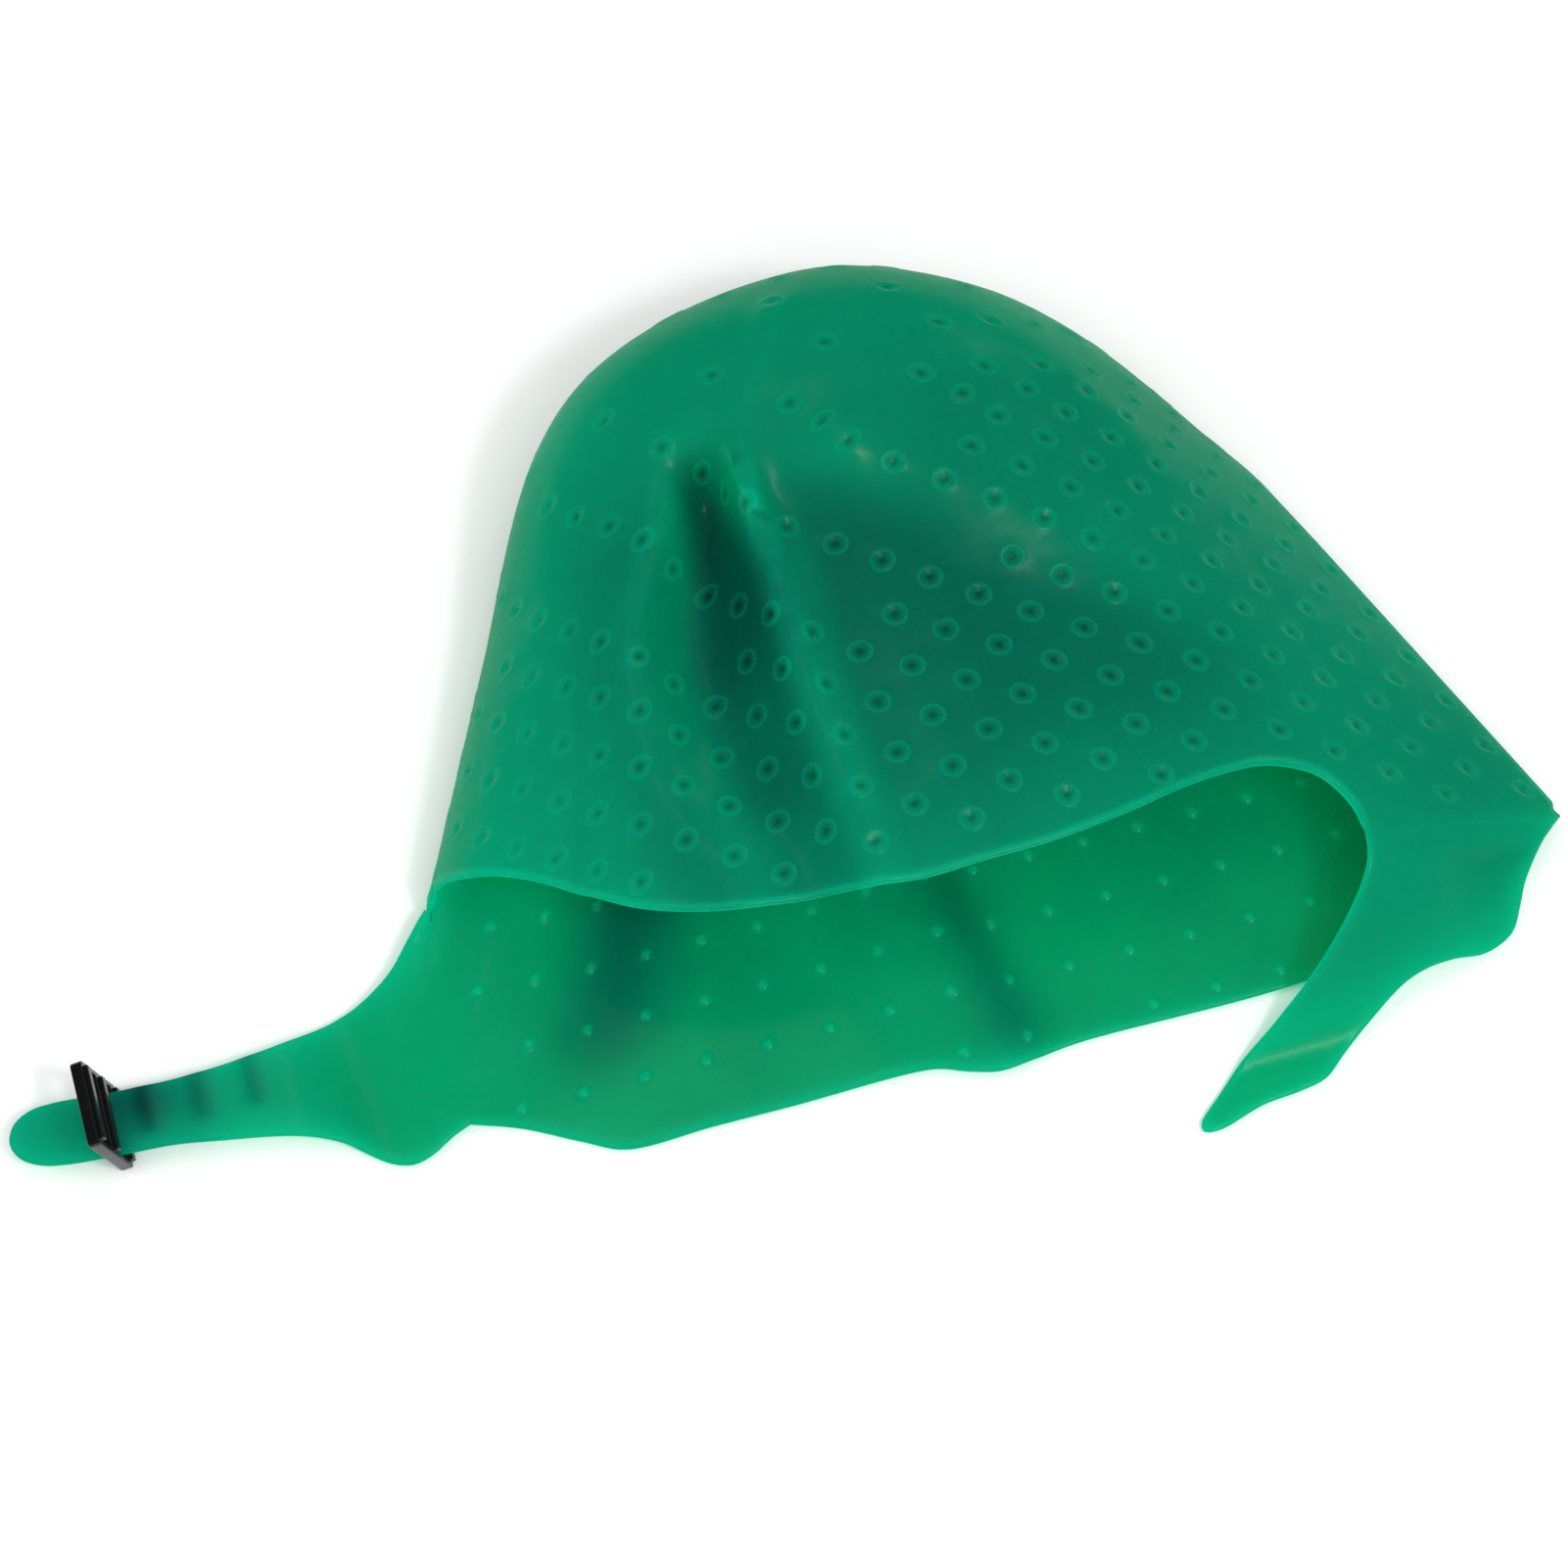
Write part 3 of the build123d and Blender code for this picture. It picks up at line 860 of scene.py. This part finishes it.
away_from_fold = smooth((np.abs(np.sin(alpha[index])) - 0.06) / 0.1)
weight = away_from_fold * smooth((line_distance(place, free_lines) - 2.4) / 0.6)
dome_n = smooth_normals(dome_n, unit(normal - slope(1) * radial), unit(-normal - slope(2) * radial),
                        dome_out, dome_in, weight)
for n, (own, out_index, in_index, weight) in ((strap_n, strap_own), (tail_n, tail_own)):
    n[:] = smooth_normals(n, own, -own, out_index, in_index, weight)

painted_bead_light = bead_painted_light(place, dome_half, free)
dome_painted_light = both_skins(len(dome_co), dome_out, dome_in, painted_light_out + painted_bead_light, painted_light_in + painted_bead_light)
dome = silicone_object("silicone_dome", dome_co, dome_faces, dome_painted_light, dome_n)
strap = silicone_object("silicone_buckle_strap", strap_co, strap_faces, strap_painted_light, strap_n)
tail = silicone_object("silicone_tail_strap", tail_co, tail_faces, tail_painted_light, tail_n)

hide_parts("cap_shell")
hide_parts("buckle_strap")
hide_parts("tail_strap")
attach(dome, "cap")


def row(x, y, z=0.0):
    """A point of the cap's own frame in the shared frame, in metres."""
    return tuple(((np.array((x, y, z)) + MID) / 1000).tolist())


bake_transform(strap)
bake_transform(tail)


# ---- the slide buckle -----------------------------------------------------------------------------
BUCKLE_LONG, BUCKLE_SHORT, BUCKLE_THICK = 17.8, 20.6, 2.4
SLOT_LONG, SLOT_WIDE = 15.4, 5.2
BUCKLE_X, BUCKLE_Y, BUCKLE_LEAN = -174.6, -36.0, math.radians(12)
BEVEL = 0.28
GRIP_THICK, GRIP_BEVEL = 1.3, 0.3
BUCKLE_LIFT = 0.1         # the buckle's lower corner clears the table by this much


def rounded_loop(cx, cy, w, h, r, steps=6):
    """A rectangle w by h round a centre, with corners of radius r."""
    out = []
    for qx, qy, a0 in ((1, 1, 0), (-1, 1, 90), (-1, -1, 180), (1, -1, 270)):
        for i in range(steps + 1):
            a = math.radians(a0 + 90 * i / steps)
            out.append((cx + qx * (w / 2 - r) + r * math.cos(a),
                        cy + qy * (h / 2 - r) + r * math.sin(a)))
    return out


def plate(name, loops, thick, bevel, z=0.0):
    """A flat plate with rounded edges from closed loops, the first the outline, in millimetres."""
    data = bpy.data.curves.new(name, "CURVE")
    data.dimensions = "2D"
    data.fill_mode = "BOTH"
    data.extrude = thick / 2 - bevel
    data.bevel_depth = bevel
    data.bevel_resolution = 3
    data.offset = -bevel
    for loop in loops:
        spline = data.splines.new("POLY")
        spline.points.add(len(loop) - 1)
        for point, (x, y) in zip(spline.points, loop):
            point.co = (x, y, 0, 1)
        spline.use_cyclic_u = True
    ob = bpy.data.objects.new(name, data)
    bpy.context.scene.collection.objects.link(ob)
    bpy.context.view_layer.update()
    mesh = bpy.data.meshes.new_from_object(ob.evaluated_get(bpy.context.evaluated_depsgraph_get()))
    bpy.data.objects.remove(ob)
    for v in mesh.vertices:
        v.co.z += z
    return mesh


bar = (BUCKLE_SHORT - 2 * SLOT_WIDE) / 3
slot_mid = (bar + SLOT_WIDE) / 2
frame_mesh = plate("buckle_frame", [
    rounded_loop(0, 0, BUCKLE_LONG, BUCKLE_SHORT, 1.3),
    rounded_loop(0, slot_mid, SLOT_LONG, SLOT_WIDE, 0.5)[::-1],
    rounded_loop(0, -slot_mid, SLOT_LONG, SLOT_WIDE, 0.5)[::-1]], BUCKLE_THICK, BEVEL)
rails = []
middle_z = (BUCKLE_LIFT + BUCKLE_SHORT / 2 * math.cos(BUCKLE_LEAN)
            + BUCKLE_THICK / 2 * math.sin(BUCKLE_LEAN))
up = np.array((-math.sin(BUCKLE_LEAN), 0, math.cos(BUCKLE_LEAN)))
out = np.array((math.cos(BUCKLE_LEAN), 0, math.sin(BUCKLE_LEAN)))
middle = np.array((BUCKLE_X - (middle_z - 4.6) * math.tan(BUCKLE_LEAN), BUCKLE_Y, middle_z)) + MID
turn = Matrix(((0, up[0], out[0], middle[0]), (1, up[1], out[1], middle[1]),
               (0, up[2], out[2], middle[2]), (0, 0, 0, 1)))
turn = Matrix.Scale(0.001, 4) @ turn
for at in (bar + SLOT_WIDE, 0.0, -(bar + SLOT_WIDE)):      # a grip rail on each cross-bar
    rails.append(plate("grip_rail", [rounded_loop(0, at, BUCKLE_LONG - 2.2, bar - 1.3, 0.5)],
                       GRIP_THICK, GRIP_BEVEL, BUCKLE_THICK / 2 + 0.3))
frame_mesh.transform(turn)
buckle = bpy.data.objects.new("slide_buckle", frame_mesh)
bpy.context.scene.collection.objects.link(buckle)
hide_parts("strap_buckle")
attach(buckle, "buckle")
grips = []
for k, rail in enumerate(rails):
    rail.transform(turn)
    grip = bpy.data.objects.new("buckle_grip_%d" % k, rail)
    bpy.context.scene.collection.objects.link(grip)
    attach(grip, "buckle")
    grips.append(grip)


# ---- materials ------------------------------------------------------------------------------------
SEE_THROUGH = 0.72        # how much of the silicone's light comes through it
PAINTED_LIGHT_GAIN = 0.45          # how far the painted light and shade attribute moves the tone
# Each ramp runs from the darkest painted shade through the plain wall's colour to the lightest
# painted light.
SURFACE_TONES = ((0.0, 0.030, 0.040), (0.0, 0.295, 0.235), (0.0, 0.49, 0.37))
THROUGH_TONES = ((0.0, 0.34, 0.33), (0.0, 0.86, 0.585), (0.0, 0.97, 0.69))


def new_material(name):
    m = bpy.data.materials.new(name)
    m.use_nodes = True
    m.node_tree.nodes.clear()
    return m, m.node_tree.nodes, m.node_tree.links


def add_node(nodes, kind, **values):
    """A shader node with its sockets set; a socket's name is written with _ for each space."""
    node = nodes.new("ShaderNode" + kind)
    for name, value in values.items():
        node.inputs[name.replace("_", " ")].default_value = value
    return node


def silicone_material():
    """Coloured silicone: a little light comes back off the surface, most of it passes through."""
    m, nodes, links = new_material("green_silicone")
    out = add_node(nodes, "OutputMaterial")
    mix = add_node(nodes, "MixShader")
    mix.inputs[0].default_value = SEE_THROUGH
    body = add_node(nodes, "BsdfPrincipled", Specular_IOR_Level=0.30)
    glow = add_node(nodes, "BsdfTranslucent")
    coord = add_node(nodes, "TexCoord")
    cloud = add_node(nodes, "TexNoise", Scale=26.0, Detail=4.0)
    # The painted light and shade attribute, with a random patchy tone, picks the colour from each
    # ramp.
    painted_light = add_node(nodes, "Attribute")
    painted_light.attribute_name = "painted_light"
    patch = add_node(nodes, "MapRange", From_Min=0.3, From_Max=0.7, To_Min=0.46, To_Max=0.54)
    both = add_node(nodes, "Math")
    both.operation = "MULTIPLY_ADD"
    both.inputs[1].default_value = PAINTED_LIGHT_GAIN
    links.new(painted_light.outputs["Fac"], both.inputs[0])
    links.new(cloud.outputs["Fac"], patch.inputs["Value"])
    links.new(patch.outputs["Result"], both.inputs[2])
    ramps = []
    for colours in (SURFACE_TONES, THROUGH_TONES):
        tone = add_node(nodes, "ValToRGB")
        tone.color_ramp.elements[0].position = 0.0
        tone.color_ramp.elements[1].position = 1.0
        tone.color_ramp.elements.new(0.5)
        for element, colour in zip(tone.color_ramp.elements, colours):
            element.color = colour + (1,)
        links.new(both.outputs[0], tone.inputs["Fac"])
        ramps.append(tone)
    fine = add_node(nodes, "TexNoise", Scale=420.0, Detail=3.0)
    rough = add_node(nodes, "MapRange", To_Min=0.22, To_Max=0.32)
    bump = add_node(nodes, "Bump", Strength=0.05, Distance=0.0004)
    links.new(coord.outputs["Object"], cloud.inputs["Vector"])
    links.new(coord.outputs["Object"], fine.inputs["Vector"])
    links.new(fine.outputs["Fac"], rough.inputs["Value"])
    links.new(fine.outputs["Fac"], bump.inputs["Height"])
    links.new(rough.outputs["Result"], body.inputs["Roughness"])
    links.new(bump.outputs["Normal"], body.inputs["Normal"])
    links.new(ramps[0].outputs["Color"], body.inputs["Base Color"])
    links.new(ramps[1].outputs["Color"], glow.inputs["Color"])
    links.new(body.outputs[0], mix.inputs[1])
    links.new(glow.outputs[0], mix.inputs[2])
    links.new(mix.outputs[0], out.inputs[0])
    return m


def plastic_material():
    """Black injection moulded plastic with a slight grain."""
    m, nodes, links = new_material("black_plastic")
    out = add_node(nodes, "OutputMaterial")
    body = add_node(nodes, "BsdfPrincipled")
    coord = add_node(nodes, "TexCoord")
    grain = add_node(nodes, "TexNoise", Scale=900.0)
    tone = add_node(nodes, "ValToRGB")
    tone.color_ramp.elements[0].color = (0.003, 0.003, 0.0035, 1)
    tone.color_ramp.elements[1].color = (0.008, 0.008, 0.009, 1)
    rough = add_node(nodes, "MapRange", To_Min=0.24, To_Max=0.36)
    links.new(coord.outputs["Object"], grain.inputs["Vector"])
    links.new(grain.outputs["Fac"], tone.inputs["Fac"])
    links.new(grain.outputs["Fac"], rough.inputs["Value"])
    links.new(tone.outputs["Color"], body.inputs["Base Color"])
    links.new(rough.outputs["Result"], body.inputs["Roughness"])
    links.new(body.outputs[0], out.inputs[0])
    return m


green = silicone_material()
for piece in (dome, strap, tail):
    piece.data.materials.append(green)
black = plastic_material()
for piece in [buckle] + grips:
    piece.data.materials.clear()
    piece.data.materials.append(black)

# ---- floor, light, camera -------------------------------------------------------------------------
FLOOR_HALF, FLOOR_Z = 3, -0.0002
floor_mesh = bpy.data.meshes.new("floor")
corners = [(x * FLOOR_HALF, y * FLOOR_HALF, FLOOR_Z) for x, y in ((-1, -1), (1, -1), (1, 1), (-1, 1))]
floor_mesh.from_pydata(corners, [], [(0, 1, 2, 3)])
floor = bpy.data.objects.new("floor", floor_mesh)
bpy.context.scene.collection.objects.link(floor)
floor_material, nodes, links = new_material("floor")
out_node = add_node(nodes, "OutputMaterial")
paper = add_node(nodes, "BsdfPrincipled", Base_Color=(0.95, 0.95, 0.95, 1), Roughness=0.8)
links.new(paper.outputs[0], out_node.inputs[0])
floor_mesh.materials.append(floor_material)

WORLD_LIGHT = 0.79
world = bpy.data.worlds.new("studio")
bpy.context.scene.world = world
world.use_nodes = True
background = world.node_tree.nodes["Background"]
background.inputs["Color"].default_value = (1, 1, 1, 1)
background.inputs["Strength"].default_value = WORLD_LIGHT
world.cycles_visibility.glossy = False


AIM = (0, 0, 0.03)        # the middle of the object, which every lamp faces


def lamp(name, towards, distance, size, power, shines):
    """An area lamp at a distance from AIM; shines says whether its reflection shows."""
    place = Vector(AIM) + Vector(towards).normalized() * distance
    data = bpy.data.lights.new(name, "AREA")
    data.shape = "RECTANGLE"
    data.size, data.size_y = size
    data.energy = power
    ob = bpy.data.objects.new(name, data)
    ob.location = place
    ob.rotation_euler = (Vector(AIM) - place).to_track_quat("-Z", "Y").to_euler()
    ob.visible_glossy = shines
    bpy.context.scene.collection.objects.link(ob)


# a fill lamp is too large and soft to show as a highlight
lamp("overhead", (0.02, 0.30, 0.95), 1.32, (0.15, 0.13), 0.34, True)
lamp("front", (0.30, -0.44, 0.85), 1.3, (0.20, 0.17), 3.6, True)
lamp("front_fill", (0.05, -0.50, 0.80), 1.3, (0.80, 0.60), 3.8, False)
lamp("right", (0.74, 0.52, 0.42), 1.3, (0.12, 0.10), 0.35, True)
lamp("left", (-0.84, 0.10, 0.50), 1.3, (0.80, 0.60), 3.1, False)

AZIMUTH, ELEVATION, DISTANCE = math.radians(-15.5), math.radians(68), 0.95
SIGHT_HALF = 0.1601       # half of what the camera takes in across its target
SENSOR = 36
target = Vector(row(-27, 0, 0))
back = Vector((math.sin(AZIMUTH) * math.cos(ELEVATION), -math.cos(AZIMUTH) * math.cos(ELEVATION),
               math.sin(ELEVATION)))
cam_data = bpy.data.cameras.new("camera")
cam_data.lens = SENSOR / 2 / math.tan(math.atan(SIGHT_HALF / DISTANCE))
cam = bpy.data.objects.new("camera", cam_data)
cam.location = target + back * DISTANCE
cam.rotation_euler = back.to_track_quat("Z", "Y").to_euler()
bpy.context.scene.collection.objects.link(cam)
bpy.context.scene.camera = cam

bpy.context.scene.view_settings.view_transform = "Standard"
